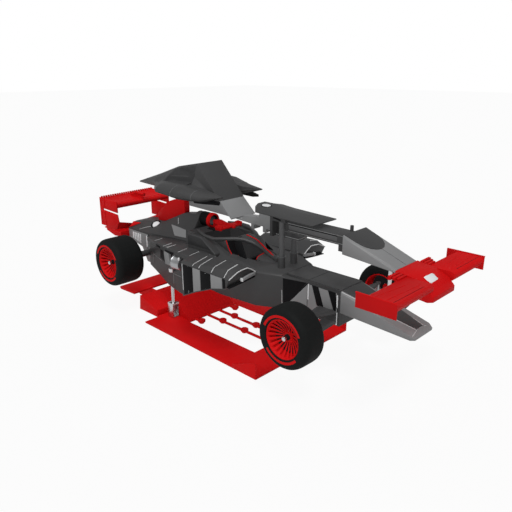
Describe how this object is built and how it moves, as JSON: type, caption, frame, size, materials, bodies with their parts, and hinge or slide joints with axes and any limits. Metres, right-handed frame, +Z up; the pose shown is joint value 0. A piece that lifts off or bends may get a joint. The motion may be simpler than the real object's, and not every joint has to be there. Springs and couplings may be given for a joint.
{
  "type": "open wheel racing car",
  "caption": "Open wheel racing car in three tiers: red floor pan on the ground, rolling chassis on stand legs, bodywork raised on two posts.",
  "frame": {"origin": "on the ground, midway along the car's length and on its centre plane", "axes": "+Z up, +Y towards the rear wing, +X towards the car's left side; the nose points to -Y"},
  "size_m": [2.1, 5.39, 2.168],
  "materials": {
    "red_paint": "gloss",
    "dark_paint": "satin",
    "grey_paint": "satin",
    "steel": "satin",
    "tyre": "matte",
    "black_trim": "matte",
    "white_paint": "gloss"
  },
  "bodies": {
    "car": {"floor_pan": "red_paint", "floor_ramp": "red_paint", "diffuser": "red_paint", "rear_stand_left": "steel", "rear_stand_right": "steel", "front_stand": "steel", "monocoque": "dark_paint", "chassis_deck": "dark_paint", "lower_nose": "grey_paint", "halo": "dark_paint", "engine_cowl": "dark_paint", "intake_ring": "red_paint", "cowl_fin": "red_paint", "seat": "black_trim", "steering_column": "steel", "sidepod_left": "dark_paint", "sidepod_right": "dark_paint", "engine": "steel", "gearbox": "grey_paint", "rear_wing": "red_paint", "beam_wing": "red_paint", "lift_post_left": "grey_paint", "lift_post_right": "grey_paint", "carrier": "grey_paint", "top_plate": "dark_paint", "engine_cover": "dark_paint", "intake_plate": "grey_paint", "spine_wall": "grey_paint", "upper_nose": "grey_paint", "nose_hatch": "dark_paint", "nose_tip": "red_paint", "nose_pylon": "white_paint", "front_wishbones_left": "dark_paint", "rear_axle_left": "dark_paint", "front_wing_left": "red_paint", "front_wishbones_right": "dark_paint", "rear_axle_right": "dark_paint", "front_wing_right": "red_paint"},
    "steering_wheel": {"steering_wheel": "black_trim"},
    "knuckle_left": {"knuckle_front_left": "steel"},
    "wheel_front_left": {"tyre_front_left": "tyre", "rim_front_left": "red_paint"},
    "wheel_rear_left": {"tyre_rear_left": "tyre", "rim_rear_left": "red_paint"},
    "knuckle_right": {"knuckle_front_right": "steel"},
    "wheel_front_right": {"tyre_front_right": "tyre", "rim_front_right": "red_paint"},
    "wheel_rear_right": {"tyre_rear_right": "tyre", "rim_rear_right": "red_paint"}
  },
  "joints": [
    {"name": "steer_right", "type": "hinge", "parent": "car", "child": "knuckle_right", "pos_m": [-0.705, -1.546, 0.755], "axis": [0, 0, 1], "range_deg": [-18, 18]},
    {"name": "roll_front_right", "type": "hinge", "parent": "knuckle_right", "child": "wheel_front_right", "pos_m": [-0.8975, -1.546, 0.755], "axis": [1, 0, 0], "continuous": true},
    {"name": "roll_rear_right", "type": "hinge", "parent": "car", "child": "wheel_rear_right", "pos_m": [-0.8065, 1.726, 0.755], "axis": [1, 0, 0], "continuous": true},
    {"name": "steer_left", "type": "hinge", "parent": "car", "child": "knuckle_left", "pos_m": [0.705, -1.546, 0.755], "axis": [0, 0, 1], "range_deg": [-18, 18]},
    {"name": "roll_front_left", "type": "hinge", "parent": "knuckle_left", "child": "wheel_front_left", "pos_m": [0.8975, -1.546, 0.755], "axis": [1, 0, 0], "continuous": true},
    {"name": "roll_rear_left", "type": "hinge", "parent": "car", "child": "wheel_rear_left", "pos_m": [0.8065, 1.726, 0.755], "axis": [1, 0, 0], "continuous": true},
    {"name": "steering_wheel_turn", "type": "hinge", "parent": "car", "child": "steering_wheel", "pos_m": [0, -0.18, 1.01], "axis": [0, 0.9397, 0.3419], "range_deg": [-180, 180]}
  ],
  "couplings": [
    {"joint": "steer_left", "follows": "steer_right", "ratio": 1},
    {"joint": "steering_wheel_turn", "follows": "steer_right", "ratio": 10}
  ]
}
